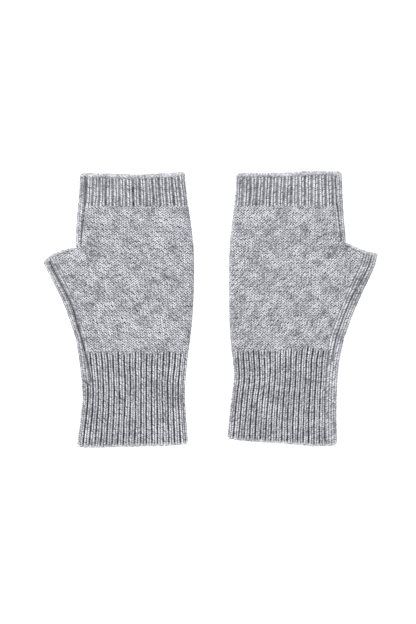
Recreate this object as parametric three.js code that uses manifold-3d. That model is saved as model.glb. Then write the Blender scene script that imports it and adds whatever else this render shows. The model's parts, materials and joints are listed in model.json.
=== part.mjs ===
// A pair of knitted fingerless gloves, lying flat side by side with the fingers' ends towards +Y and the
// thumbs pointing away from each other. Each glove is one closed tube of knitting: a long ribbed wrist cuff,
// a plain hand with a short open thumb, and a ribbed finger band. Millimetres, +Z up, origin under the middle
// of the pair, on the surface that the gloves lie on.
import * as THREE from 'three';
import { mergeVertices } from 'three/addons/utils/BufferGeometryUtils.js';
import Module from 'manifold-3d';

const wasm = await Module();
wasm.setup();

// Driving dimensions.
const KNIT = 1.7; // thickness of one layer of knitting
const HEIGHT = 8.4; // two layers and the room between them
const FOLD_RADIUS = 4.0; // the soft fold along each side
const GAP = 0.3; // clearance between pieces that touch
const WRIST = -36; // where the cuff's ribs end and the plain hand begins
const BAND = 77.5; // where the plain hand ends and the finger band's ribs begin
const THUMB_ROOT = 102.3; // fold line between hand and thumb, out from the middle of the pair
const THUMB_FOOT = -8; // lower end of the thumb's fold line
const CAST_ON_EDGE = 2.6; // depth of the first rows at the wrist
const BIND_OFF_EDGE = 2.8; // depth of the last rows at the fingers
const THUMB_EDGE = 2.4; // depth of the last rows at the thumb's mouth
const SEAM_WIDTH = 1.4;
const SEAM_DEPTH = 0.7;
const TUBE_END = 112; // each tube is made this long, then cut at its hem and mouth
const THUMB_TUBE = [-38, 60]; // and the thumb's between these
const ROW_LENGTH = 7; // spacing of the sections that a tube is drawn through
const FAR = 140; // farther out than either glove reaches
const OVERRUN = 8; // how far cutting shapes run past what they cut

// Plan of each glove. `across` is counted out from the middle line of the pair, `along` towards the fingers.
// An edge is a list of [along, across] stations; a mouth or hem is a list of [across, along] points.
// A seam is a list of [along, inset] stations, the inset counted from the thumb side's edge. The side seam
// shows for `cuffSeamLength` below the wrist, where it turns to the back.
const LEFT = {
  name: 'left',
  side: -1,
  littleFingerEdge: [
    [-114, 17.0], [-102, 17.2], [-62, 19.4], [-37, 17.3], [-12, 14.4],
    [20, 12.6], [50, 13.2], [77, 16.8], [98, 19.2], [114, 19.6],
  ],
  thumbSideEdge: [
    [-114, 102.0], [-102, 101.2], [-66, 97.3], [-37, 99.9], [-22, 102.1],
    [12, 102.5], [50, 102.2], [66, 101.7], [90, 99.5], [114, 99.2],
  ],
  thumbEdge: [[-40, 90], [-22, 102.1], [-8, 107.1], [4, 111.3], [18, 118.3], [36, 127.2], [64, 136]],
  hem: [[10, -102.4], [32, -104.0], [52, -104.4], [72, -104.8], [86, -105.6], [108, -104.8]],
  fingerMouth: [[12, 105.0], [30, 103.5], [58, 102.2], [84, 103.3], [108, 103.0]],
  thumbMouth: [[102.3, 47.4], [116, 43.8], [126.9, 36.2]],
  fingerSeam: [[44, 3.8], [58, 4.6], [70, 5.4], [84, 4.7], [114, 3.9]],
  sideSeam: [[-64, 7.8], [-45, 7.0], [-34, 5.5], [-22, 4.7], [0, 5.5], [44, 5.2]],
  cuffSeamLength: 20.8,
};
const RIGHT = {
  name: 'right',
  side: 1,
  littleFingerEdge: [
    [-114, 11.6], [-98, 12.6], [-68, 15.6], [-50, 17.8], [-37, 16.4], [-16, 14.7],
    [20, 14.0], [50, 14.7], [77, 17.7], [98, 19.4], [114, 19.6],
  ],
  thumbSideEdge: [
    [-114, 96.2], [-102, 95.9], [-84, 95.4], [-60, 95.9], [-37, 97.9], [-22, 101.2],
    [12, 102.6], [50, 102.6], [77, 100.5], [114, 99.2],
  ],
  thumbEdge: [
    [-40, 90], [-22, 101.2], [-8, 106.4], [4, 111.3], [18, 117.7], [32, 124.4], [41.7, 126.9], [64, 131],
  ],
  hem: [[5, -97.6], [24, -100.1], [44, -101.6], [64, -102.9], [82, -104.6], [102, -102.6]],
  fingerMouth: [[12, 103.6], [44, 103.5], [62, 103.9], [84, 105.2], [108, 103.4]],
  thumbMouth: [[102.3, 51.2], [114, 45.6], [126.9, 42.3]],
  fingerSeam: [[44, 3.2], [56, 3.2], [68, 3.7], [80, 4.7], [114, 5.0]],
  sideSeam: [[-48, 4.8], [-39, 4.9], [-28, 6.1], [-10, 6.3], [10, 6.1], [24, 4.9], [48, 4.2]],
  cuffSeamLength: 5,
};

const yarn = (color) => new THREE.MeshStandardMaterial({ color, roughness: 0.95, metalness: 0 });
const plainKnit = () => yarn(0xafb0b7);
const ribKnit = () => yarn(0x9a9ba1);
const edgeKnit = () => yarn(0xb4b5bb);
const seamYarn = () => yarn(0x84858b);

const KNITTED = {
  cast_on_edge: ribKnit,
  wrist_cuff: ribKnit,
  hand: plainKnit,
  thumb: plainKnit,
  thumb_bind_off: edgeKnit,
  finger_band: ribKnit,
  finger_bind_off: edgeKnit,
};
// The rolled edges cross over the ends of the seams.
const ROLLED = ['cast_on_edge', 'thumb_bind_off', 'finger_bind_off'];
// Each stretch of seam yarn is a piece of its own and moves with the area that it lies in.
const UPPER_SEAMS = { band_seam: 'finger_band', finger_seam: 'hand' };
const LOWER_SEAMS = { thumb_seam: 'thumb', palm_seam: 'hand', cuff_seam: 'wrist_cuff' };

// A distance across the glove, as a smooth function of the distance along it.
function edgeCurve(stations) {
  const along = stations.map(([position]) => position);
  const across = stations.map(([, distance]) => distance);
  const curve = new THREE.CubicInterpolant(along, across, 1, new Float32Array(1));
  return (position) => curve.evaluate(position)[0];
}

function toManifold(geometry) {
  const bare = geometry.clone();
  bare.deleteAttribute('normal');
  bare.deleteAttribute('uv');
  const merged = mergeVertices(bare, 1e-4);
  const vertProperties = new Float32Array(merged.attributes.position.array);
  const triVerts = new Uint32Array(merged.index.array);
  return new wasm.Manifold(new wasm.Mesh({ numProp: 3, vertProperties, triVerts }));
}

function toMesh(solid, name, material) {
  const { vertProperties, triVerts } = solid.getMesh();
  const geometry = new THREE.BufferGeometry();
  geometry.setAttribute('position', new THREE.BufferAttribute(vertProperties, 3));
  geometry.setIndex(new THREE.BufferAttribute(triVerts, 1));
  geometry.computeVertexNormals();
  const mesh = new THREE.Mesh(geometry, material);
  mesh.name = name;
  return mesh;
}

// Section of a flattened tube: two level layers joined by a round fold at each side.
function flatSection(innerEdge, outerEdge, inset) {
  const radius = FOLD_RADIUS - inset;
  const arcSteps = 6;
  const section = [];
  const corners = [
    [outerEdge - FOLD_RADIUS, FOLD_RADIUS, -Math.PI / 2],
    [outerEdge - FOLD_RADIUS, HEIGHT - FOLD_RADIUS, 0],
    [innerEdge + FOLD_RADIUS, HEIGHT - FOLD_RADIUS, Math.PI / 2],
    [innerEdge + FOLD_RADIUS, FOLD_RADIUS, Math.PI],
  ];
  for (const [across, up, start] of corners) {
    for (let step = 0; step <= arcSteps / 2; step += 1) {
      const angle = start + (step / (arcSteps / 2)) * (Math.PI / 2);
      section.push([across + radius * Math.cos(angle), up + radius * Math.sin(angle)]);
    }
  }
  return section;
}

// Solid of a flattened tube between two edges, from one end to the other, drawn in from them by `inset`.
function flatTube(side, innerCurve, outerCurve, from, to, inset) {
  const rows = Math.round((to - from) / ROW_LENGTH);
  const positions = [];
  let ring = 0;
  for (let row = 0; row <= rows; row += 1) {
    const along = from + (row / rows) * (to - from);
    const section = flatSection(innerCurve(along), outerCurve(along), inset);
    ring = section.length;
    section.forEach(([across, up]) => positions.push(side * across, along, up));
  }
  const triangles = [];
  const addTriangle = (a, b, c) => (side > 0 ? triangles.push(a, c, b) : triangles.push(a, b, c));
  for (let row = 0; row < rows; row += 1) {
    for (let k = 0; k < ring; k += 1) {
      const here = row * ring + k;
      const next = row * ring + ((k + 1) % ring);
      addTriangle(here, next, here + ring);
      addTriangle(next, next + ring, here + ring);
    }
  }
  const last = rows * ring;
  for (let k = 1; k < ring - 1; k += 1) {
    addTriangle(0, k + 1, k);
    addTriangle(last, last + k, last + k + 1);
  }
  const geometry = new THREE.BufferGeometry();
  geometry.setAttribute('position', new THREE.Float32BufferAttribute(positions, 3));
  geometry.setIndex(triangles);
  return toManifold(geometry);
}

// Upright block over a plan outline, used to cut pieces out of the glove.
function planBlock(side, outline, bottom = -OVERRUN, top = HEIGHT + OVERRUN) {
  const shape = new THREE.Shape(outline.map(([across, along]) => new THREE.Vector2(side * across, along)));
  const geometry = new THREE.ExtrudeGeometry(shape, { depth: top - bottom, bevelEnabled: false });
  geometry.translate(0, 0, bottom);
  return toManifold(geometry);
}

// Points of a gently curved mouth or hem, moved along the glove by `shift`.
function edgeLine(points, shift) {
  const moved = points.map(([across, along]) => new THREE.Vector2(across, along + shift));
  return new THREE.SplineCurve(moved).getPoints(8).map((point) => [point.x, point.y]);
}

// Block between two lines that both run out from the middle of the pair.
const between = (side, lower, upper) => planBlock(side, [...lower, ...[...upper].reverse()]);
const level = (along) => [[0, along], [FAR, along]];

// The thumb's tube leaves the palm on a slant and passes the crotch, where the thumb's mouth begins.
function thumbInnerCurve(glove) {
  const [crotchAcross, crotchAlong] = glove.thumbMouth[0];
  const slant = 0.9;
  const deepest = 85;
  return (along) => Math.max(deepest, crotchAcross + slant * (along - crotchAlong));
}

// The whole knitted wall of one glove: open at the wrist, at the fingers and at the thumb.
function gloveWall(glove) {
  const { side } = glove;
  const littleFinger = edgeCurve(glove.littleFingerEdge);
  const thumbSide = edgeCurve(glove.thumbSideEdge);
  const thumbOuter = edgeCurve(glove.thumbEdge);
  const thumbInner = thumbInnerCurve(glove);
  const [thumbFrom, thumbTo] = THUMB_TUBE;
  const handOuter = flatTube(side, littleFinger, thumbSide, -TUBE_END, TUBE_END, 0);
  const handRoom = flatTube(side, littleFinger, thumbSide, -TUBE_END - 1, TUBE_END + 1, KNIT);
  const thumbSolid = flatTube(side, thumbInner, thumbOuter, thumbFrom, thumbTo, 0);
  const thumbRoom = flatTube(side, thumbInner, thumbOuter, thumbFrom, thumbTo + 1, KNIT);
  const mouth = edgeLine(glove.thumbMouth, 0);
  const bottom = thumbFrom - OVERRUN;
  const pastTip = [FAR, mouth.at(-1)[1] - OVERRUN];
  const belowMouth = [[0, bottom], [0, mouth[0][1]], ...mouth, pastTip, [FAR, bottom]];
  const thumb = thumbSolid.intersect(planBlock(side, belowMouth));
  return handOuter.add(thumb).subtract(handRoom.add(thumbRoom));
}

// A strip along a line of the plan, on the top layer only, `width` wide and `depth` deep.
function topStrip(side, line, width, depth) {
  const right = line.map(([across, along]) => [across + width / 2, along]);
  const left = line.map(([across, along]) => [across - width / 2, along]);
  return planBlock(side, [...left, ...right.reverse()], HEIGHT - depth, HEIGHT + OVERRUN);
}

// Points of the seam beside an edge, from one height along the glove to another.
function seamLine(edge, inset, from, to) {
  const steps = Math.round((to - from) / ROW_LENGTH);
  return Array.from({ length: steps + 1 }, (_, step) => {
    const along = from + (step / steps) * (to - from);
    return [edge(along) - inset(along), along];
  });
}

// The two runs of the side seam, as lines in plan: above the crotch, and from the thumb's mouth to the cuff.
function seamRuns(glove) {
  const thumbSide = edgeCurve(glove.thumbSideEdge);
  const thumbOuter = edgeCurve(glove.thumbEdge);
  const outerEdge = (along) => Math.max(thumbSide(along), thumbOuter(along));
  const [, crotch] = glove.thumbMouth[0];
  const [, tip] = glove.thumbMouth.at(-1);
  return [
    seamLine(thumbSide, edgeCurve(glove.fingerSeam), crotch + 1, TUBE_END),
    seamLine(outerEdge, edgeCurve(glove.sideSeam), WRIST - glove.cuffSeamLength, tip + 2),
  ];
}

// Areas of the plan that the glove's wall is divided into.
function knittedAreas(glove) {
  const { side } = glove;
  const half = GAP / 2;
  const hem = (shift) => edgeLine(glove.hem, shift);
  const mouth = (shift) => edgeLine(glove.fingerMouth, shift);
  const thumbMouth = (shift) => edgeLine(glove.thumbMouth, shift);
  const thumbArea = (root, foot) => {
    const line = thumbMouth(OVERRUN);
    const [, tip] = line.at(-1);
    return planBlock(side, [[root, foot], [root, line[0][1]], ...line.slice(1), [FAR, tip], [FAR, foot]]);
  };
  const aboveThumbEdge = (shift) => {
    const line = thumbMouth(shift);
    const [, tip] = line.at(-1);
    const above = [[FAR, tip - OVERRUN], [FAR, FAR], [THUMB_ROOT, FAR]];
    return planBlock(side, [[THUMB_ROOT, line[0][1]], ...line.slice(1), ...above]);
  };
  const thumb = thumbArea(THUMB_ROOT + GAP, THUMB_FOOT + GAP);
  const hand = between(side, level(WRIST + half), level(BAND - half));
  return {
    cast_on_edge: between(side, hem(0), hem(CAST_ON_EDGE)),
    wrist_cuff: between(side, hem(CAST_ON_EDGE + GAP), level(WRIST - half)),
    hand: hand.subtract(thumbArea(THUMB_ROOT, THUMB_FOOT)),
    thumb: thumb.subtract(aboveThumbEdge(-THUMB_EDGE - GAP)),
    thumb_bind_off: thumb.intersect(aboveThumbEdge(-THUMB_EDGE)),
    finger_band: between(side, level(BAND + half), mouth(-BIND_OFF_EDGE - GAP)),
    finger_bind_off: between(side, mouth(-BIND_OFF_EDGE), mouth(0)),
  };
}

function makeGlove(glove) {
  const { side, name } = glove;
  const group = new THREE.Group();
  const wall = gloveWall(glove);
  const areas = knittedAreas(glove);
  const runs = seamRuns(glove);
  const grooves = runs.map((line) => topStrip(side, line, SEAM_WIDTH + 2 * GAP, SEAM_DEPTH + GAP));
  const grooved = wall.subtract(grooves[0].add(grooves[1]));
  for (const [area, material] of Object.entries(KNITTED)) {
    const knit = ROLLED.includes(area) ? wall : grooved;
    group.add(toMesh(knit.intersect(areas[area]), `${name}_${area}`, material()));
  }
  [UPPER_SEAMS, LOWER_SEAMS].forEach((seams, run) => {
    const strip = wall.intersect(topStrip(side, runs[run], SEAM_WIDTH, SEAM_DEPTH));
    for (const [seam, area] of Object.entries(seams)) {
      group.add(toMesh(strip.intersect(areas[area]), `${name}_${seam}`, seamYarn()));
    }
  });
  return group;
}

const pair = new THREE.Group();
pair.add(makeGlove(LEFT), makeGlove(RIGHT));
export default pair;
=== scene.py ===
"""A pair of knitted fingerless gloves lying flat: the looks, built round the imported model.

Each glove is worked out in its own plan, in millimetres: `out` is the distance from the middle line of the
pair, `along` runs from the wrist to the fingers, and `up` is the height. Outlines are read from the frame.
The knitting is real relief on closed shells: stitches, ribs, seams and rolled edges are all in the meshes.
"""
import json
import math

import bpy
import numpy as np
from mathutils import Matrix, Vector


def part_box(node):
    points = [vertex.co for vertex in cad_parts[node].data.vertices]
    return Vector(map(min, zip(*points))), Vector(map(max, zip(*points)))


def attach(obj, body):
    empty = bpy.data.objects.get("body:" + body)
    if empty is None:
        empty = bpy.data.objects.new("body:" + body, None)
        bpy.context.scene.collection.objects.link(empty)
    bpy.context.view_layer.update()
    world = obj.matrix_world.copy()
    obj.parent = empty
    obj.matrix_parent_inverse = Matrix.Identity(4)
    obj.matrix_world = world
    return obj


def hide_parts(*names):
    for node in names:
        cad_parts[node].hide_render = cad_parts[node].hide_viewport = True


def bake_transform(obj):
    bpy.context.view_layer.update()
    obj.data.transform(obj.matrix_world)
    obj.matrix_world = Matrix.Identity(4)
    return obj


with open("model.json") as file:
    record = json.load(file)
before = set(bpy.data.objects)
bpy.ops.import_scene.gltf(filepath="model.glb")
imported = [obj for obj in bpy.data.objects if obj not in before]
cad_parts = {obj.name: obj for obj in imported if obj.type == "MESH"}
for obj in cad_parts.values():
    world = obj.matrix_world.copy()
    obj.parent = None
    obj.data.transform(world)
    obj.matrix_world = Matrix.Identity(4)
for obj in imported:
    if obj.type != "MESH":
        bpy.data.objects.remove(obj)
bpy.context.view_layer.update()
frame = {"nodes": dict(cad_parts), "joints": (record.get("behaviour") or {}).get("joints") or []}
MM = 0.001
TINY = 1e-9

# The knitting, in millimetres.
WALL = 1.7                # one layer
COURSE = 1.81             # height of a plain row of stitches
STITCH_WIDTH = 2.72       # a plain stitch
STITCH_RELIEF = 0.70      # how far a plain stitch stands up
RIB_COURSE = 1.62         # height of a ribbed row, which is pulled in
RIB_STITCH_RELIEF = 0.60
RIBBED_WAY = 84.0         # the way across one ribbed layer, which the ribs share
SUNK = 0.35               # the relief is let into the surface by this much
SIDE_WALE = 4.2           # the stitches that follow the thumb's edge are broad
SIDE_WIDTH_ABOVE = 8.5    # the strip of such stitches above the crotch
SIDE_VALLEY = 0.45        # depth of the valleys between their columns
GUSSET_FOOT = -22.0       # where the thumb begins to widen, along the glove
HEM_INSET = 0.9           # from the edge to the middle of its rolled stitches
MOUTH_INSET = 1.35
BIND_OFF = 3.8            # height of the bound-off rows at the fingers' mouth
NECK = 0.6                # half the width of the groove under them
NECK_DEPTH = 0.3
SEAM_GROOVE = 0.64        # half the width of the linked seam's groove
SEAM_RADIUS = 0.4
SEAM_PITCH = 1.6
SEAM_SUNK = 1.35
SEAM_STEP = 0.35
ROLL_SUNK = 0.8           # a rolled edge is let in by this share of its radius
FLOOR_GAP = 0.02          # nothing reaches below this height

# Groove depth, the ribs' share of the width, how uneven the grooves are, and how much their painted shade
# varies.
RIBS = {
    "cuff": {"depth": 1.25, "column": 0.81, "uneven": 0.42, "groove_shade_flecks": 0.8},
    "band": {"depth": 1.00, "column": 0.71, "uneven": 0.18, "groove_shade_flecks": 0.3},
}

# The grid that carries the relief.
COLUMNS = (360, 200)      # over the upper layer and the lower one
THUMB_COLUMNS = (110, 70)
ROW_STEP = 0.33
INNER_STEP = 5            # the inside has one row or column for this many outside
ROLL_SIDES = 14           # round a rolled edge or a seam's yarn
BACKWARDS = [0, 3, 2, 1]  # the order of a face's corners that turns it over
MERGE = 0.004             # points this close together become one
FIRST_SHARE = 0.02        # the thumb's first row lies a little above its gusset's foot, which has no width

# What differs between the two gloves. `wales` are the plain columns across one layer; ribs are counted right
# round. `phase` shifts the ribs, and `dark` is how dark the painted shade in their grooves is. `wrist` is for
# the line between hand and cuff, and `flat` for the plain strip that runs on down the cuff. `side_width` is
# the width of the strip of broad stitches beside the thumb's edge: low on the palm, and near the thumb's tip.
LOOKS = {
    "left": {
        "seed": 3, "wales": 33.5,
        "cuff_ribs": 41, "cuff_phase": 0.32, "cuff_dark": 1.52,
        "band_ribs": 34, "band_phase": 0.45, "band_dark": 0.84,
        "wrist_shift": 3.9, "wrist_tilt": -0.03, "wrist_bow": 0.0,
        "flat_width": 8.9, "flat_length": 17.4, "flat_slant": 0.75,
        "seam_depth": 1.15, "seam_groove_shade": 1.05, "side_width": (10.5, 13.5),
    },
    "right": {
        "seed": 8, "wales": 35.5,
        "cuff_ribs": 43, "cuff_phase": 0.20, "cuff_dark": 1.46,
        "band_ribs": 33, "band_phase": 0.10, "band_dark": 0.78,
        "wrist_shift": 6.4, "wrist_tilt": 0.05, "wrist_bow": 1.6,
        "flat_width": 11.0, "flat_length": 95.0, "flat_slant": 0.0,
        "seam_depth": 0.80, "seam_groove_shade": 0.85, "side_width": (13.5, 14.5),
    },
}


def smooth(x):
    """Smooth step from 0 at 0 to 1 at 1."""
    x = np.clip(x, 0.0, 1.0)
    return x * x * (3 - 2 * x)


def mix(a, b, share):
    return a + (b - a) * share


def hashed(*keys):
    """Repeatable random number from 0 to 1 for whole-number keys."""
    total = sum(np.asarray(key, float) * factor for key, factor in zip(keys, (12.9898, 78.233, 37.719)))
    value = np.sin(total) * 43758.5453
    return value - np.floor(value)


def value_noise(x, y, seed):
    """Smooth random field from -1 to 1, one hill per unit."""
    x0, y0 = np.floor(x), np.floor(y)
    fx, fy = smooth(x - x0), smooth(y - y0)
    low = mix(hashed(x0, y0, seed), hashed(x0 + 1, y0, seed), fx)
    high = mix(hashed(x0, y0 + 1, seed), hashed(x0 + 1, y0 + 1, seed), fx)
    return 2 * mix(low, high, fy) - 1


# ---------------------------------------------------------------- the frame's outlines

def cad_edges(names):
    """Both ends of all the edges of these CAD nodes, as (out, along, up) in millimetres."""
    starts, ends = [], []
    for name in names:
        mesh = frame["nodes"][name].data
        co = np.empty(len(mesh.vertices) * 3, np.float32)
        mesh.vertices.foreach_get("co", co)
        pairs = np.empty(len(mesh.edges) * 2, np.int32)
        mesh.edges.foreach_get("vertices", pairs)
        points = co.reshape(-1, 3).astype(float) / MM
        points[:, 0] = np.abs(points[:, 0])
        pairs = pairs.reshape(-1, 2)
        starts.append(points[pairs[:, 0]])
        ends.append(points[pairs[:, 1]])
    return np.concatenate(starts), np.concatenate(ends)


def crossing(edges, axis, value):
    """Least and most of the other plan axis where a plane across `axis` cuts the edges."""
    starts, ends = edges
    a, b = starts[:, axis], ends[:, axis]
    cut = (a - value) * (b - value) < 0
    share = (value - a[cut]) / (b[cut] - a[cut])
    found = mix(starts[cut, 1 - axis], ends[cut, 1 - axis], share)
    return (found.min(), found.max()) if len(found) else (np.nan, np.nan)


def widths(edges, rows):
    """Least and most `out` of the edges at each row, the middle of three readings: one may fall in a gap."""
    readings = [[crossing(edges, 1, along + step) for step in (-0.5, 0.0, 0.5)] for along in rows]
    return np.nanmedian(readings, axis=1).T


def curve_through(positions, values, blur=2.5):
    """Smooth function through evenly spaced samples, straight beyond their ends."""
    values = np.array(values)
    known = ~np.isnan(values)
    values = np.interp(positions, positions[known], values[known])
    reach = int(3 * blur)
    weights = np.exp(-0.5 * (np.arange(-reach, reach + 1) / blur) ** 2)
    before = values[0] + (values[0] - values[reach]) * np.arange(reach, 0, -1) / reach
    after = values[-1] + (values[-1] - values[-1 - reach]) * np.arange(1, reach + 1) / reach
    values = np.convolve(np.concatenate([before, values, after]), weights / weights.sum(), mode="valid")
    far = 40.0
    step = positions[1] - positions[0]
    first, last = (values[1] - values[0]) / step, (values[-1] - values[-2]) / step
    positions = np.concatenate([[positions[0] - far], positions, [positions[-1] + far]])
    values = np.concatenate([[values[0] - far * first], values, [values[-1] + far * last]])
    return lambda at: np.interp(at, positions, values)


def joint_place(name):
    """The joint's place in millimetres."""
    joint = next(j for j in frame["joints"] if j["name"] == name)
    return [value / MM for value in joint["pos_m"]]


class Glove:
    """The plan of one glove, read from the frame."""

    def __init__(self, name):
        self.name = name
        self.side = -1 if name == "left" else 1
        self.look = LOOKS[name]
        self.seed = self.look["seed"]
        self.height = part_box(f"{name}_hand")[1].z / MM
        self.radius = self.height / 2
        self.root = abs(joint_place(f"{name}_thumb_fold")[0])
        self.wrist = joint_place(f"{name}_cuff_fold")[1]
        self.band = joint_place(f"{name}_finger_band_fold")[1]
        self.read_ends()
        self.read_sides()
        self.read_seams()

    def edges(self, *parts):
        return cad_edges([f"{self.name}_{part}" for part in parts])

    def read_ends(self):
        """The hem at the wrist, and the mouths for the fingers and for the thumb."""
        hem, fingers = self.edges("cast_on_edge"), self.edges("finger_bind_off")
        thumb = self.edges("thumb_bind_off")
        across = np.arange(hem[0][:, 0].min() + 1, hem[0][:, 0].max() - 1, 1.0)
        self.hem = curve_through(across, [crossing(hem, 0, out)[0] for out in across])
        across = np.arange(fingers[0][:, 0].min() + 1, fingers[0][:, 0].max() - 1, 1.0)
        self.mouth = curve_through(across, [crossing(fingers, 0, out)[1] for out in across])
        self.tip_out, self.tip = max(thumb[0], key=lambda point: point[0])[:2]
        across = np.arange(self.root + 0.8, self.tip_out - 0.2, 0.5)
        self.thumb_mouth = curve_through(across, [crossing(thumb, 0, out)[1] for out in across])
        self.crotch = float(self.thumb_mouth(self.root))

    def read_sides(self):
        """The folds along the little finger's side and the thumb's side."""
        tube = self.edges("cast_on_edge", "wrist_cuff", "hand", "finger_band", "finger_bind_off")
        palm = self.edges("cast_on_edge", "wrist_cuff", "hand", "thumb", "thumb_bind_off")
        ends = np.array([tube[0][:, 0].min(), self.root])
        bottom, top = self.hem(ends).max() + 1, self.mouth(ends).min() - 1
        rows = np.arange(bottom, top, 1.0)
        self.little = curve_through(rows, widths(tube, rows)[0])
        rows = np.arange(bottom, self.tip - 0.5, 1.0)
        self.outer = curve_through(rows, widths(palm, rows)[1])
        rows = np.arange(self.crotch + 1, top, 1.0)
        self.finger_edge = curve_through(rows, widths(tube, rows)[1])
        self.crotch_out = float(self.finger_edge(self.crotch))
        rows = np.arange(bottom - 10, top + 10, 0.5)
        edge = np.where(rows < self.crotch, self.outer(rows), self.root)
        run = np.cumsum(np.hypot(0.5, np.gradient(edge)))
        self.side_run = lambda along: np.interp(along, rows, run)

    def read_seams(self):
        """The seam's inset from the fold on the thumb's side, above the crotch and below it."""
        upper = self.edges("finger_seam", "band_seam")
        lower = self.edges("thumb_seam", "palm_seam", "cuff_seam")
        rows = np.arange(self.crotch + 1.7, self.mouth(self.root) - 3, 1.0)
        line = [np.mean(crossing(upper, 1, along)) for along in rows]
        self.finger_inset = curve_through(rows, self.finger_edge(rows) - line)
        self.seam_foot = lower[0][:, 1].min()
        rows = np.arange(self.seam_foot + 0.2, self.tip - 3, 1.0)
        line = [np.mean(crossing(lower, 1, along)) for along in rows]
        self.side_inset = curve_through(rows, self.outer(rows) - line)

    def root_line(self, along):
        """Where the hand ends and the thumb begins: it meets the finger part's edge at the crotch."""
        return mix(self.root, self.crotch_out, smooth((along - self.crotch + 8) / 8))

    def thumb_side(self, along):
        """The fold on the thumb's side, above and below the crotch."""
        return np.where(along >= self.crotch, self.finger_edge(along), self.outer(along))

    def tube_end(self, along):
        """Where the tube of the hand ends on the thumb's side: at its fold, or at the root of the thumb."""
        below = np.minimum(self.root_line(along), self.outer(along))
        return np.where(along >= self.crotch, self.finger_edge(along), below)

    def seam(self, along):
        """The linked seam's line."""
        inset = np.where(along >= self.crotch, self.finger_inset(along), self.side_inset(along))
        return self.thumb_side(along) - inset


# ---------------------------------------------------------------- the skin under the knitting

def slope_of(curve, at):
    """Slope over the millimetre round a place."""
    return curve(at + 0.5) - curve(at - 0.5)


def distance_to_folds(glove, out, along):
    """Distance in plan to the nearest fold, or to the crotch, and the direction in which it grows."""
    little_slope, thumb_slope = slope_of(glove.little, along), slope_of(glove.thumb_side, along)
    thumb_slope = np.where(np.abs(along - glove.crotch) < 1, 0.0, thumb_slope)
    little_lean, thumb_lean = 1 / np.hypot(1, little_slope), 1 / np.hypot(1, thumb_slope)
    little = ((out - glove.little(along)) * little_lean, little_lean, -little_slope * little_lean)
    thumb = ((glove.thumb_side(along) - out) * thumb_lean, -thumb_lean, thumb_slope * thumb_lean)
    away_out, away_along = out - glove.crotch_out, along - glove.crotch
    away = np.hypot(away_out, away_along) + TINY
    crotch = (np.where(along < glove.crotch, away, np.inf), away_out / away, away_along / away)
    nearest = np.stack([little[0], thumb[0], crotch[0]]).argmin(0)
    distance, grow_out, grow_along = (np.choose(nearest, field) for field in zip(little, thumb, crotch))
    return np.maximum(distance, 0.0), grow_out, grow_along


def hollow(glove, out, along):
    """How far the upper layer has sunk, in slow hollows."""
    slow = value_noise(out / 34, along / 41, glove.seed)
    quick = value_noise(out / 13, along / 17, glove.seed + 1)
    return 0.45 + 0.32 * slow + 0.16 * quick


def skin(glove, out, along, facing):
    """Points and outward normals of the glove's outer skin before the knitting's relief."""
    distance, grow_out, grow_along = distance_to_folds(glove, out, along)
    share = np.minimum(distance / glove.radius, 1.0)
    rise = np.sqrt(np.maximum(1 - (1 - share) ** 2, 0.0))
    half = glove.height / 2
    up = half + facing * half * rise - hollow(glove, out, along) * rise ** 4 * (facing > 0)
    normal = np.stack([(share - 1) * grow_out, (share - 1) * grow_along, facing * rise], -1)
    normal /= np.linalg.norm(normal, axis=-1, keepdims=True) + TINY
    return np.stack([out, along, up], -1), normal


def round_fold(radius, away):
    """How much longer the way round a fold is than its width in plan, at a point `away` in from the fold."""
    near = np.clip(away / radius, 0.0, 1.0)
    return radius * (np.arccos(1 - near) - near)


def turn_of(glove, out, along, facing):
    """Place round the tube: 0 at the thumb's side, 1 at the little finger's fold, on to 2 underneath."""
    full = round_fold(glove.radius, glove.radius)
    little, end = glove.little(along), glove.tube_end(along)
    folded = (along >= glove.crotch) | (along <= GUSSET_FOOT)
    thumb_fold = np.where(folded, full - round_fold(glove.radius, end - out), 0.0)
    arc = out - little + round_fold(glove.radius, out - little) + thumb_fold
    near_crotch = smooth((along - glove.crotch + 20) / 20)
    near_foot = smooth((GUSSET_FOOT + 20 - along) / 20)
    whole = end - little + full * (1 + np.maximum(near_crotch, near_foot))
    return 1 - facing * arc / whole


def side_arc(glove, out, along):
    """Distance round the skin from the fold on the thumb's side."""
    away = np.maximum(glove.thumb_side(along) - out, 0.0) / np.hypot(1, slope_of(glove.outer, along))
    return away + round_fold(glove.radius, away)


# ---------------------------------------------------------------- the knitting's relief

def stitches(wale, course, width, pitch, seed, lean, slant):
    """Height from 0 to 1 of V-shaped stitches, and a random shade from -1 to 1 for each leg of yarn.

    The legs lean out by the angle `lean`, and their ends are cut off on a `slant`.
    """
    across = wale - np.floor(wale) - 0.5
    upward = course - np.floor(course) - 0.5
    height, shade = np.zeros(np.shape(wale)), np.zeros(np.shape(wale))
    sin, cos = math.sin(lean), math.cos(lean)
    for side in (-1, 1):
        for step in (-1, 0, 1):
            column, row = np.floor(wale), np.floor(course) + step
            wobble = hashed(column, row, seed + side) - 0.5
            dx = (across - 0.25 * side + 0.10 * wobble) * width
            dy = (upward - step + 0.30 * wobble) * pitch
            length = (dy - slant * side * dx) / (0.54 * pitch)
            breadth = (dx * cos - dy * side * sin) / (0.24 * width)
            leg = np.sqrt(np.maximum(1 - breadth ** 2 - length ** 2, 0.0))
            higher = leg > height
            height = np.where(higher, leg, height)
            own_tone = 1.3 * (hashed(column, row, side + seed + 7) - 0.5)
            shade = np.where(higher, own_tone + 0.7 * value_noise(column / 2, row / 3, seed), shade)
    return np.minimum(height, 1.0), shade


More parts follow.
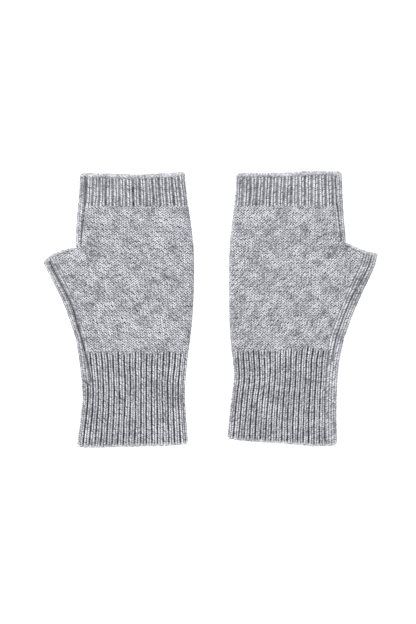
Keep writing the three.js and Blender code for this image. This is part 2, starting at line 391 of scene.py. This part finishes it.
def rib_stitches(rib, course, period, column, seed):
    """Ribs' own height from 0 to 1, their stitches' height and random shade, grooves and partings of legs."""
    across = rib - np.floor(rib) - 0.5
    crest = 1 - np.abs(2 * across) ** 2.6
    place = np.clip(across / column, -0.499, 0.499)
    wale = np.floor(rib) + place + 0.5
    height, shade = stitches(wale, course, period * column, RIB_COURSE, seed, lean=0.16, slant=0.5)
    groove = smooth((np.abs(2 * across) - column + 0.16) / 0.26)
    return crest, height * (1 - groove), shade, groove, np.exp(-(across / 0.085) ** 2)


def rib_number(glove, turn, part):
    """Whole number of the nearest groove between ribs, before the grooves' wander."""
    return np.floor(turn * glove.look[f"{part}_ribs"] / 2 + glove.look[f"{part}_phase"] + 0.5)


def rib_line(glove, out, turn):
    """Where the plain hand turns into the cuff's ribs, a little ragged from rib to rib."""
    look = glove.look
    middle, half_width = (glove.root + 14) / 2, 42
    line = glove.wrist + look["wrist_shift"] + look["wrist_tilt"] * (out - middle)
    line = line - look["wrist_bow"] * ((out - middle) / half_width) ** 2
    return line + 3.2 * (hashed(rib_number(glove, turn, "cuff"), glove.seed) - 0.5)


def flat_strip(glove, out, along, arc):
    """1 on the plain strip that runs on down the cuff beside its edge, and the crease at the strip's foot."""
    look = glove.look
    away = np.maximum(glove.thumb_side(along) - out, 0.0)
    over_foot = along - glove.wrist + look["flat_length"] + look["flat_slant"] * away
    beside = smooth((look["flat_width"] - arc) / 0.8 + 0.5)
    return beside * smooth(over_foot / 1.2 + 0.5), beside * np.exp(-(over_foot / 0.85) ** 2)


def seam_groove(glove, out, along):
    """Share from 0 to 1 of the linked seam's groove."""
    away = np.abs(out - glove.seam(along)) / np.hypot(1, slope_of(glove.outer, along))
    below = smooth((along - glove.seam_foot) / 2) * (along < glove.tip)
    shown = np.where(along > glove.crotch, smooth((along - glove.crotch) / 3), below)
    return np.exp(-(away / SEAM_GROOVE) ** 2) * shown


def side_knit(glove, out, along, arc):
    """Height, random shade and painted shade of the broad stitches that follow the thumb's edge."""
    slope = slope_of(glove.outer, along)
    back = slope / (1 + slope ** 2) * (out - glove.outer(along))
    beside = glove.side_run(along + np.where(along < glove.crotch, back, 0.0))
    wale, course = arc / SIDE_WALE, beside / COURSE
    height, shade = stitches(wale, course, SIDE_WALE, COURSE, glove.seed + 2, lean=0.16, slant=0.5)
    valley = np.cos(4 * math.pi * arc / SIDE_WALE) * 0.5 + 0.5
    # Painted shade in the valleys between the broad columns, darker in some than in others, and between the
    # legs.
    dark = 0.45 + 0.30 * value_noise(np.floor(2 * arc / SIDE_WALE + 0.5), beside / 7, glove.seed + 5)
    gap = np.maximum(0.75 * smooth((0.84 - height) / 0.55), dark * valley ** 2)
    return height * STITCH_RELIEF - SIDE_VALLEY * valley ** 2, shade, gap


def plain_knit(glove, out, along, arc, turn):
    """Height, random shade and painted shade of plain stitches: upright, and the broad ones beside the
    thumb's edge.
    """
    drift = 0.14 * value_noise(out / 22, along / 30, glove.seed + 20)
    rise = 0.20 * value_noise(out / 27, along / 19, glove.seed + 21)
    wale, course = turn * glove.look["wales"] + drift, (along - glove.wrist) / COURSE + rise
    height, shade = stitches(wale, course, STITCH_WIDTH, COURSE, glove.seed, lean=0.3, slant=0.6)
    # Painted shade between the legs, and a little more between the rows.
    between_rows = np.cos(2 * math.pi * course) * 0.5 + 0.5
    gap = smooth((0.86 - height) / 0.55) + 0.10 * between_rows - 0.05
    side_height, side_shade, side_gap_shade = side_knit(glove, out, along, arc)
    width_below = mix(*glove.look["side_width"], smooth(along / 35))
    width_above = SIDE_WIDTH_ABOVE * smooth((along - glove.crotch) / 9)
    width = np.where(along < glove.crotch, width_below, width_above)
    beside_edge = smooth((width - arc) / 2.0 + 0.5)
    height = mix(height * STITCH_RELIEF, side_height, beside_edge)
    return height, mix(shade, side_shade, beside_edge), 0.93 * mix(gap, side_gap_shade, beside_edge)


def ribbed_knit(glove, out, along, turn, part, seed):
    """Height, random shade and painted shade of one-and-one ribs; their grooves wander and are not all as
    deep.
    """
    ribs, phase, dark = (glove.look[f"{part}_{key}"] for key in ("ribs", "phase", "dark"))
    style = RIBS[part]
    wander = 0.06 * value_noise(turn * ribs / 3, along / 14, seed)
    wander = wander + 0.04 * value_noise(turn * ribs, along / 5, seed)
    rib = turn * ribs / 2 + phase + wander
    period = 2 * RIBBED_WAY / ribs
    rise = 0.25 * value_noise(out / 17, along / 19, seed + 1) + 0.3 * hashed(np.floor(rib), seed)
    course = (along - glove.wrist) / RIB_COURSE
    made = rib_stitches(rib, course + rise, period, style["column"], seed + 2)
    crest, bumps, shade, groove, parting = made
    number = np.floor(rib + 0.5)
    chance = hashed(number, seed + 3) - 0.5 + 0.6 * value_noise(number * 3.7, along / 6, seed + 4)
    strength = np.clip(0.95 + style["uneven"] * chance, 0.4, 1.1)
    height = (crest - 1) * style["depth"] * np.minimum(strength, 1.0)
    height = height + bumps * RIB_STITCH_RELIEF * (1 - 0.6 * parting)
    # Painted shade: in the grooves, varying from rib to rib and stitch to stitch, between the legs, and down
    # each rib's parting.
    groove_shade_flecks = 0.96 + style["groove_shade_flecks"] * (hashed(number, np.floor(1.3 * course), seed) - 0.5)
    between_legs = 0.92 * smooth((0.80 - bumps) / 0.55) * (1 - groove)
    gap = np.maximum(between_legs, dark * strength * groove_shade_flecks * groove)
    gap = np.maximum(gap, 0.90 * parting)
    return height, shade + 0.30, np.minimum(gap, 1.0)


def necks(glove, out, along, rim):
    """1 in the grooves under the bound-off rows of the fingers' mouth and under the roll of the thumb's."""
    thumb_rim = glove.thumb_mouth(out) - 2 * MOUTH_INSET - 0.3 - along
    thumb_neck = np.exp(-(thumb_rim / NECK) ** 2) * (out > glove.root)
    return np.maximum(np.exp(-(rim / NECK) ** 2), thumb_neck * (along < glove.crotch))


def relief(glove, out, along, facing):
    """Height of the yarn over the skin, its random shade, and how much painted shade falls on each point."""
    look = glove.look
    turn, arc = turn_of(glove, out, along, facing), side_arc(glove, out, along)
    rim = along - glove.mouth(out) + BIND_OFF
    strip, crease = (field * (facing > 0) for field in flat_strip(glove, out, along, arc))
    cuff = smooth((rib_line(glove, out, turn) - along) / 2.2) * (1 - strip)
    ragged = 1.2 * (hashed(rib_number(glove, turn, "band"), glove.seed + 4) - 0.5)
    band = smooth((along - glove.band + 0.4 + ragged) / 1.5)
    band = band * smooth((arc - 1.5 * SIDE_WALE) / 0.8 + 0.5)
    band = band * (1 - smooth(rim / 0.8 + 0.5))
    fields = plain_knit(glove, out, along, arc, turn)
    cuff_fields = ribbed_knit(glove, out, along, turn, "cuff", glove.seed + 10)
    band_fields = ribbed_knit(glove, out, along, turn, "band", glove.seed + 12)
    fields = [mix(a, b, cuff) for a, b in zip(fields, cuff_fields)]
    height, shade, gap = (mix(a, b, band) for a, b in zip(fields, band_fields))
    seam = seam_groove(glove, out, along) * (facing > 0)
    # Painted shade in the seam's groove, patchy from link to link, and in the crease at the foot of the
    # cuff's plain strip.
    link = hashed(np.floor(glove.side_run(along) / 1.3), glove.seed)
    link_shade = np.where(along > glove.crotch, 0.45 + 0.85 * link, 0.80 + 0.40 * link)
    linked = np.maximum(look["seam_groove_shade"] * seam * link_shade, crease)
    neck = necks(glove, out, along, rim)
    # Painted shadow in the grooves under the bound-off rows and under the thumb's roll.
    neck_shadow = neck * (0.05 + 0.4 * hashed(np.floor(out / 1.2), glove.seed))
    # Less painted shade in the bound-off rows at the fingers' mouth, so they read lighter.
    gap = gap * (1 - 0.4 * smooth(rim / 0.8))
    gap = np.clip(np.maximum(gap, np.maximum(linked, neck_shadow)), 0, 1)
    height = height - look["seam_depth"] * np.maximum(seam, 0.6 * crease)
    return height - NECK_DEPTH * neck - SUNK, shade, gap


# ---------------------------------------------------------------- grids over the skin

def evenly(points, count):
    """Places in the list of points, as fractions of an index, that are evenly spaced along its line."""
    lengths = np.concatenate([[0], np.cumsum(np.linalg.norm(np.diff(points, axis=0), axis=1))])
    return np.interp(np.linspace(0, lengths[-1], count + 1), lengths, np.arange(len(points)))


def tube_layer(glove, line, facing, count):
    """Evenly spaced points of one layer of a row, from the thumb's side to the little finger's fold."""
    arc = np.linspace(0, 1, 14)
    stages = np.concatenate([arc, 1 + arc[1:], 2 + arc[1:]])

    def place(stage, along):
        end, little = glove.tube_end(along), glove.little(along)
        first = end - glove.radius * (1 - np.cos(np.clip(stage, 0, 1) * math.pi / 2))
        last = little + glove.radius * (1 - np.cos(np.clip(3 - stage, 0, 1) * math.pi / 2))
        level = mix(end - glove.radius, little + glove.radius, stage - 1)
        return np.where(stage < 1, first, np.where(stage > 2, last, level))

    def settle(stage):
        along = line(np.full(len(stage), glove.root / 2))
        for _ in range(3):
            out = place(stage, along)
            along = line(out)
        return out, along

    out, along = settle(stages)
    points, _ = skin(glove, out, along, facing)
    return settle(np.interp(evenly(points, count), np.arange(len(stages)), stages))


def round_both(upper, lower):
    """One row right round: over the upper layer, then back under the lower one."""
    return np.concatenate([upper, lower[-2::-1]])


def tube_grid(glove, lines):
    """Rows of (out, along, facing) right round the tube, one row for each line across the glove."""
    out, along = [], []
    for line in lines:
        upper = tube_layer(glove, line, 1.0, COLUMNS[0])
        lower = tube_layer(glove, line, -1.0, COLUMNS[1])
        out.append(round_both(upper[0], lower[0]))
        along.append(round_both(upper[1], lower[1]))
    facing = np.where(np.arange(len(out[0])) <= COLUMNS[0], 1.0, -1.0)
    return np.array(out), np.array(along), np.broadcast_to(facing, (len(out), len(facing)))


def thumb_layer(glove, share, count):
    """One layer of a row of the thumb, from its root on the hand out to its fold."""
    edge_along, root_along = mix(GUSSET_FOOT, glove.tip, share), mix(GUSSET_FOOT, glove.crotch, share)
    root = float(glove.root_line(root_along))
    edge = max(float(glove.outer(edge_along)), root + 0.05)
    lean = 1 / math.hypot(1, slope_of(glove.outer, edge_along))
    width = (edge - root) * lean
    reach = width + round_fold(glove.radius, width)
    span = np.linspace(reach, 0, count + 1)
    angle = np.minimum(span / glove.radius, math.pi / 2)
    depth = glove.radius * (1 - np.cos(angle)) + np.maximum(span - glove.radius * math.pi / 2, 0)
    out = edge - depth / lean
    out[0] = root
    mouth = mix(glove.crotch_out, glove.tip_out, (out - root) / (edge - root))
    mouth_along = glove.thumb_mouth(mouth) - MOUTH_INSET
    return out, mix(GUSSET_FOOT, mouth_along, share)


def thumb_grid(glove):
    """The thumb's rows run from the foot of its gusset to its mouth, over the fold from root to root."""
    count = int(round((glove.crotch - GUSSET_FOOT) / ROW_STEP))
    out, along = [], []
    for share in np.linspace(FIRST_SHARE, 1, count + 1):
        upper, lower = (thumb_layer(glove, share, columns) for columns in THUMB_COLUMNS)
        out.append(round_both(upper[0], lower[0]))
        along.append(round_both(upper[1], lower[1]))
    facing = np.where(np.arange(len(out[0])) <= THUMB_COLUMNS[0], 1.0, -1.0)
    return np.array(out), np.array(along), np.broadcast_to(facing, (len(out), len(facing)))


# ---------------------------------------------------------------- meshes

def joined_faces(groups, merged, flip):
    """Faces over merged points: a flat list of corners, and the size of each. Empty faces are dropped."""
    corners, sizes = [], []
    for group in groups:
        group = merged[np.asarray(group)]
        if flip:
            group = group[:, ::-1]
        doubled = group == np.roll(group, 1, axis=1)
        whole = ~doubled.any(axis=1)
        corners.append(group[whole].ravel())
        sizes.append(np.full(whole.sum(), group.shape[1]))
        for face, drop in zip(group[~whole], doubled[~whole]):
            left = face[~drop]
            if len(left) >= 3 and len(set(left)) == len(left):
                corners.append(left)
                sizes.append([len(left)])
    return np.concatenate(corners), np.concatenate(sizes)


def make_mesh(name, glove, points, groups, shade, gap, material):
    """Piece made of points in the plan's millimetres; points that lie together are merged.

    Faces with four corners are the knitted surface and are shaded smooth; the rims between layers are not.
    """
    keys = np.round(points / MERGE).astype(np.int64)
    _, first, merged = np.unique(keys, axis=0, return_index=True, return_inverse=True)
    corners, sizes = joined_faces(groups, merged.ravel(), glove.side < 0)
    mesh = bpy.data.meshes.new(name)
    mesh.vertices.add(len(first))
    placed = points[first] * [glove.side * MM, MM, MM]
    mesh.vertices.foreach_set("co", placed.astype(np.float32).ravel())
    mesh.loops.add(len(corners))
    mesh.loops.foreach_set("vertex_index", corners.astype(np.int32))
    mesh.polygons.add(len(sizes))
    starts = np.concatenate([[0], np.cumsum(sizes)[:-1]])
    mesh.polygons.foreach_set("loop_start", starts.astype(np.int32))
    mesh.polygons.foreach_set("use_smooth", sizes == 4)
    mesh.update(calc_edges=True)
    for key, values in (("shade", shade), ("gap", gap)):
        attribute = mesh.attributes.new(key, "FLOAT", "POINT")
        attribute.data.foreach_set("value", values[first].astype(np.float32))
    mesh.validate()
    mesh.materials.append(material)
    piece = bpy.data.objects.new(name, mesh)
    bpy.context.scene.collection.objects.link(piece)
    return piece


def thinned(count):
    """Every INNER_STEP-th index, and the last one."""
    return sorted(set(range(0, count, INNER_STEP)) | {count - 1})


def rim_faces(outside, inside, marks, flip):
    """Faces that close a wall along one side of its grid."""
    faces = []
    for k, (a, b) in enumerate(zip(marks, marks[1:])):
        outer, inner = list(outside[a:b + 1]), [inside[k + 1], inside[k]]
        faces.append(outer[::-1] + inner[::-1] if flip else outer + inner)
    return faces


def quads_of(number):
    """Faces between the rows and columns of a grid of point numbers."""
    corners = [number[:-1, :-1], number[1:, :-1], number[1:, 1:], number[:-1, 1:]]
    return np.stack(corners, -1).reshape(-1, 4)


def shell(name, glove, grid, material, slit):
    """Closed shell over a grid: the relief outside, a plain lining inside, and rims between them.

    `slit` says for each row whether its two ends are apart or meet in a fold.
    """
    out, along, facing = grid
    surface, normal = skin(glove, out, along, facing)
    height, shade, gap = relief(glove, out, along, facing)
    outer = surface + normal * height[..., None]
    outer[..., 2] = np.maximum(outer[..., 2], FLOOR_GAP)
    rows, columns = thinned(outer.shape[0]), thinned(outer.shape[1])
    inner = (surface - normal * WALL)[np.ix_(rows, columns)]
    number = np.arange(out.size).reshape(out.shape)
    inside = out.size + np.arange(len(rows) * len(columns)).reshape(len(rows), len(columns))
    rims = rim_faces(number[0], inside[0], columns, False)
    rims += rim_faces(number[-1], inside[-1], columns, True)
    ends = rim_faces(number[:, 0], inside[:, 0], rows, True)
    ends += rim_faces(number[:, -1], inside[:, -1], rows, False)
    apart = [slit[a:b + 1].any() for a, b in zip(rows, rows[1:])] * 2
    rims += [face for face, open_here in zip(ends, apart) if open_here]
    groups = [quads_of(number), quads_of(inside)[:, BACKWARDS]]
    groups += [[rim for rim in rims if len(rim) == size] for size in sorted({len(rim) for rim in rims})]
    lined = np.zeros(inside.size)
    points = np.concatenate([outer.reshape(-1, 3), inner.reshape(-1, 3)])
    shade = np.concatenate([shade.ravel(), lined])
    # The lining inside carries a fixed share of painted shade.
    gap = np.concatenate([gap.ravel(), lined + 0.4])
    return make_mesh(name, glove, points, groups, shade, gap, material)


def unit(vectors):
    """The vectors' directions."""
    return vectors / (np.linalg.norm(vectors, axis=-1, keepdims=True) + TINY)


def chain(name, glove, path, normals, radius, pitch, material, closed, leg_gap_shade, shadow):
    """Plait of stitches along a path: a rolled edge or a linked seam.

    `leg_gap_shade` is how strong the painted shade between its legs is, and `shadow` is painted shadow that
    darkens it from point to point.
    """
    if closed:
        tangent = np.roll(path, -1, 0) - np.roll(path, 1, 0)
    else:
        tangent = np.gradient(path, axis=0)
    tangent = unit(tangent)
    normals = unit(normals - (normals * tangent).sum(1, keepdims=True) * tangent)
    across = np.cross(tangent, normals)
    run = np.concatenate([[0], np.cumsum(np.linalg.norm(np.diff(path, axis=0), axis=1))])
    if closed:
        loop = run[-1] + np.linalg.norm(path[0] - path[-1])
        pitch = loop / round(loop / pitch)
    angle = np.arange(ROLL_SIDES) / ROLL_SIDES * 2 * math.pi
    around = angle / math.pi + 0.5 + np.zeros((len(path), 1))
    course = (run / pitch)[:, None] + np.zeros((1, ROLL_SIDES))
    height, shade = stitches(around, course, radius * math.pi, pitch, glove.seed + 30, lean=0.3, slant=0.8)
    ring = radius * (0.70 + 0.36 * height)
    direction = np.cos(angle)[:, None] * normals[:, None] + np.sin(angle)[:, None] * across[:, None]
    points = path[:, None] + ring[..., None] * direction
    points[..., 2] = np.maximum(points[..., 2], FLOOR_GAP)
    number = np.arange(points.shape[0] * ROLL_SIDES).reshape(-1, ROLL_SIDES)
    if closed:
        number = np.concatenate([number, number[:1]])
    turned = np.roll(number, -1, 1)
    groups = [np.stack([number[:-1], turned[:-1], turned[1:], number[1:]], -1).reshape(-1, 4)]
    if not closed:
        groups += [[number[0][::-1]], [number[-1]]]
    gap = np.maximum(smooth((0.75 - height) / 0.6) * leg_gap_shade, np.asarray(shadow)[..., None])
    return make_mesh(name, glove, points.reshape(-1, 3), groups, shade.ravel(), gap.ravel(), material)


# ---------------------------------------------------------------- materials

def yarn_material(name, dark, light, gap_shade_colour, fuzz):
    """Heathered wool: a shade for each leg of yarn, with fibres, flecks, slow blotches and painted shade in
    the dips.

    `fuzz` is how much the loose fibres lighten the yarn at its edges.
    """
    material = bpy.data.materials.new(name)
    material.use_nodes = True
    tree = material.node_tree
    links = tree.links
    shader = tree.nodes["Principled BSDF"]
    place = tree.nodes.new("ShaderNodeTexCoord").outputs["Object"]

    def noise(scale, detail):
        """Noise with about `scale` hills in a metre."""
        made = tree.nodes.new("ShaderNodeTexNoise")
        made.inputs["Scale"].default_value = scale
        made.inputs["Detail"].default_value = detail
        made.inputs["Roughness"].default_value = 0.6
        links.new(place, made.inputs["Vector"])
        return made.outputs["Fac"]

    def scaled(value, gain, offset):
        made = tree.nodes.new("ShaderNodeMath")
        made.operation = "MULTIPLY_ADD"
        links.new(value, made.inputs[0])
        made.inputs[1].default_value = gain
        made.inputs[2].default_value = offset
        return made.outputs[0]

    def added(first, second):
        made = tree.nodes.new("ShaderNodeMath")
        made.operation = "ADD"
        links.new(first, made.inputs[0])
        links.new(second, made.inputs[1])
        return made.outputs[0]

    def attribute(key):
        made = tree.nodes.new("ShaderNodeAttribute")
        made.attribute_name = key
        return made.outputs["Fac"]

    def blended(kind, factor, first, second):
        made = tree.nodes.new("ShaderNodeMix")
        made.data_type = "RGBA"
        made.blend_type = kind
        for socket, value in ((made.inputs[0], factor), (made.inputs[6], first), (made.inputs[7], second)):
            if isinstance(value, (float, tuple)):
                socket.default_value = value
            else:
                links.new(value, socket)
        return made.outputs[2]

    fibres, flecks, blotches = noise(2600, 3), noise(850, 2), noise(110, 3)
    tone = scaled(attribute("shade"), 0.40, 0.575)
    tone = added(tone, scaled(fibres, 1.3, -0.65))
    tone = added(tone, scaled(flecks, 1.3, -0.65))
    tone = added(tone, scaled(blotches, 0.6, -0.30))
    clamped = tree.nodes.new("ShaderNodeClamp")
    links.new(tone, clamped.inputs["Value"])
    colour = blended("MIX", clamped.outputs[0], dark, light)
    tint = tree.nodes.new("ShaderNodeValToRGB")
    cool, warm = tint.color_ramp.elements
    cool.position, cool.color = 0.40, (0.94, 0.99, 0.995, 1)
    warm.position, warm.color = 0.60, (0.995, 0.96, 1.0, 1)
    links.new(noise(480, 1), tint.inputs["Fac"])
    colour = blended("MULTIPLY", 1.0, colour, tint.outputs["Color"])
    # Painted shade: the attribute mixes in the dark colour where the yarn dips between legs, into grooves and
    # seams.
    colour = blended("MIX", attribute("gap"), colour, gap_shade_colour)
    links.new(colour, shader.inputs["Base Color"])
    links.new(scaled(fibres, 0.2, 0.78), shader.inputs["Roughness"])
    shader.inputs["Specular IOR Level"].default_value = 0.12
    shader.inputs["Sheen Weight"].default_value = fuzz
    shader.inputs["Sheen Roughness"].default_value = 0.6
    bump = tree.nodes.new("ShaderNodeBump")
    bump.inputs["Strength"].default_value = 0.5
    bump.inputs["Distance"].default_value = 0.0003
    links.new(added(fibres, scaled(noise(5200, 2), 0.5, 0.0)), bump.inputs["Height"])
    links.new(bump.outputs["Normal"], shader.inputs["Normal"])
    return material


def floor_material():
    material = bpy.data.materials.new("pale_floor")
    material.use_nodes = True
    shader = material.node_tree.nodes["Principled BSDF"]
    shader.inputs["Base Color"].default_value = (0.93, 0.93, 0.93, 1)
    shader.inputs["Roughness"].default_value = 0.9
    shader.inputs["Specular IOR Level"].default_value = 0.1
    shader.inputs["Emission Color"].default_value = (1, 1, 1, 1)
    shader.inputs["Emission Strength"].default_value = 0.6
    return material


# The third colour is painted shade, for where the yarn dips between legs, into grooves and seams.
WOOL = ((0.24, 0.24, 0.255, 1), (0.91, 0.91, 0.955, 1), (0.02, 0.02, 0.024, 1), 0.20)
PLAIN = yarn_material("plain_knit", *WOOL)
RIBBED = yarn_material("rib_knit", *WOOL)
# The rolled edges' wool is a lighter copy of the rest: painted light on rolls that curve away from the lamps.
EDGE_PAINTED_LIGHT = yarn_material("edge_knit", (0.32, 0.32, 0.335, 1), (0.96, 0.96, 0.99, 1), (0.07, 0.07, 0.075, 1), 0.75)
# The seam's yarn lies at the bottom of its groove and is coloured near black: painted shade.
SHADED_SEAM = yarn_material("seam_yarn", (0.06, 0.06, 0.065, 1), (0.26, 0.26, 0.28, 1), (0.02, 0.02, 0.024, 1), 0.20)


# ---------------------------------------------------------------- the pieces of one glove


def rides(piece, glove, part):
    """The piece rides the hand; a piece of any other part keeps its place, with its transform baked into its
    mesh.
    """
    if part == "hand":
        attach(piece, f"{glove.name}_hand")
        return
    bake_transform(piece)


def stands_for(glove, node):
    """The piece replaces this CAD node, which is hidden."""
    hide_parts(f"{glove.name}_{node}")


def corner_lift(glove, along, out, lift):
    """The ends of a hem are drawn in towards the glove where they go round the folds."""
    near = np.minimum(out - glove.little(along), glove.thumb_side(along) - out)
    return lift * np.clip(1 - near / 3.2, 0, 1) ** 2


def tube_rows(glove):
    """Heights of the tube's rows at its middle, from hem to mouth, and where the cuff and the hand end."""
    middle = glove.root / 2
    low, high = float(glove.hem(middle)) + HEM_INSET, float(glove.mouth(middle)) - MOUTH_INSET
    stops = [low, glove.wrist, GUSSET_FOOT, glove.crotch, glove.band, high]
    parts = [np.linspace(a, b, int(round((b - a) / ROW_STEP)) + 1)[:-1] for a, b in zip(stops, stops[1:])]
    ends = np.cumsum([len(part) for part in parts])
    return np.concatenate(parts + [[high]]), ends[0], ends[3]


def row_line(glove, value, low, high):
    """A row of the tube: level over the hand, and slanting more and more towards the hem or the mouth."""
    def line(out):
        if value < glove.wrist:
            hem = glove.hem(out) + HEM_INSET + corner_lift(glove, low, out, 1.5)
            return mix(glove.wrist, hem, (glove.wrist - value) / (glove.wrist - low))
        if value > glove.band:
            mouth = glove.mouth(out) - MOUTH_INSET - corner_lift(glove, high, out, 0.8)
            return mix(glove.band, mouth, (value - glove.band) / (high - glove.band))
        return np.full(np.shape(out), value)
    return line


def make_panels(glove):
    """The ribbed cuff, the plain hand and the ribbed band, from one grid right round the tube."""
    values, wrist_row, band_row = tube_rows(glove)
    grid = tube_grid(glove, [row_line(glove, value, values[0], values[-1]) for value in values])
    slit = (values > GUSSET_FOOT + 0.01) & (values < glove.crotch - 0.01)
    for title, node, slot, part, rows, material in (
        ("ribbed_cuff", "wrist_cuff", "rib_knit", "cuff", slice(0, wrist_row + 1), RIBBED),
        ("plain_hand", "hand", "plain_knit", "hand", slice(wrist_row, band_row + 1), PLAIN),
        ("ribbed_band", "finger_band", "rib_knit", "band", slice(band_row, None), RIBBED),
    ):
        panel = shell(f"{glove.name}_{title}", glove, [field[rows] for field in grid], material, slit[rows])
        rides(panel, glove, part)
        stands_for(glove, node)
    return grid


def make_thumb(glove):
    grid = thumb_grid(glove)
    thumb = shell(f"{glove.name}_plain_thumb", glove, grid, PLAIN, np.ones(len(grid[0]), bool))
    rides(thumb, glove, "thumb")
    stands_for(glove, "thumb")
    return grid


def make_rolled_edges(glove, tube, thumb):
    """Plaits round the hem, the fingers' mouth and the thumb's mouth."""
    for title, node, grid, row, radius, pitch, leg_gap_shade, part, slot, closed in (
        ("cast_on", "cast_on_edge", tube, 0, 0.95, 2.0, 0.9, "cuff", "rib_knit", True),
        ("finger_bind_off", "finger_bind_off", tube, -1, 1.45, 2.2, 0.8, "band", "edge_knit", True),
        ("thumb_bind_off", "thumb_bind_off", thumb, -1, 1.20, 2.0, 0.8, "thumb", "edge_knit", False),
    ):
        out, along, facing = (field[row][:-1] if closed else field[row] for field in grid)
        path, normals = skin(glove, out, along, facing)
        shadow = np.zeros(len(out))
        sink = ROLL_SUNK * radius
        if title == "cast_on":
            height, _, gap = relief(glove, out, along, facing)
            grooved = smooth((0.1 - height) / 1.0)
            path = path + [[0.0, 0.7, 0.0]] * grooved[:, None]
            sink, shadow = sink + 0.6 * grooved, 0.8 * gap * grooved
        path = path - normals * np.asarray(sink + np.zeros(len(out)))[:, None]
        plait = chain(f"{glove.name}_{title}_edge", glove, path, normals, radius, pitch, EDGE_PAINTED_LIGHT, closed, leg_gap_shade,
                      shadow)
        rides(plait, glove, part)
        stands_for(glove, node)


def make_seams(glove):
    """Linked seam lines, in one stretch for each part of the glove."""
    rows = np.arange(GUSSET_FOOT, glove.tip, 0.1)
    past_root = float(rows[np.argmax(glove.seam(rows) > glove.root)])
    mouth = float(glove.mouth(glove.root)) - 2 * MOUTH_INSET
    for title, low, high, part in (
        ("band_seam", glove.band, mouth, "band"),
        ("finger_seam", glove.crotch + 1, glove.band, "hand"),
        ("thumb_seam", past_root, glove.tip - 1, "thumb"),
        ("palm_seam", glove.wrist, past_root, "hand"),
        ("cuff_seam", glove.seam_foot, glove.wrist, "cuff"),
    ):
        along = np.linspace(low, high, int((high - low) / SEAM_STEP) + 2)
        path, normals = skin(glove, glove.seam(along), along, np.ones(len(along)))
        path, lit = path - SEAM_SUNK * normals, np.zeros(len(along))
        yarn = chain(f"{glove.name}_{title}_yarn", glove, path, normals, SEAM_RADIUS, SEAM_PITCH, SHADED_SEAM, False,
                     0.9, lit)
        rides(yarn, glove, part)
        stands_for(glove, title)


def make_glove(glove):
    tube = make_panels(glove)
    thumb = make_thumb(glove)
    make_rolled_edges(glove, tube, thumb)
    make_seams(glove)


# ---------------------------------------------------------------- floor, light and camera

def make_floor():
    bpy.ops.mesh.primitive_plane_add(size=6, location=(0, 0, -0.0002))
    floor = bpy.context.object
    floor.name = "floor"
    floor.data.materials.append(floor_material())


def area_light(name, place, size, power):
    data = bpy.data.lights.new(name, "AREA")
    data.size = size
    data.energy = power
    light = bpy.data.objects.new(name, data)
    light.location = place
    light.rotation_euler = (-Vector(place)).to_track_quat("-Z", "Y").to_euler()
    bpy.context.scene.collection.objects.link(light)


def make_light():
    area_light("overhead", place=(-0.25, 0.35, 1.6), size=1.2, power=24)
    area_light("from_top_left", place=(-1.3, 1.1, 0.75), size=0.8, power=10)
    world = bpy.data.worlds.new("room")
    world.use_nodes = True
    world.node_tree.nodes["Background"].inputs["Color"].default_value = (1, 1, 1, 1)
    world.node_tree.nodes["Background"].inputs["Strength"].default_value = 0.35
    bpy.context.scene.world = world
    bpy.context.scene.view_settings.view_transform = "Standard"
    # The stitches are about as fine as the picture's dots, and smoothed guide passes would wipe them out.
    bpy.context.scene.cycles.denoising_prefilter = "NONE"


def make_camera():
    """Straight above the pair: the view is 316 mm wide, its middle a little to the left and below."""
    view_width, height_over, aspect = 0.31616, 2.4, 624 / 416
    data = bpy.data.cameras.new("camera")
    data.lens = data.sensor_width * height_over / (view_width * aspect)
    camera = bpy.data.objects.new("camera", data)
    camera.location = (-0.0019, -0.0024, height_over)
    bpy.context.scene.collection.objects.link(camera)
    bpy.context.scene.camera = camera


for glove_name in ("left", "right"):
    make_glove(Glove(glove_name))
make_floor()
make_light()
make_camera()
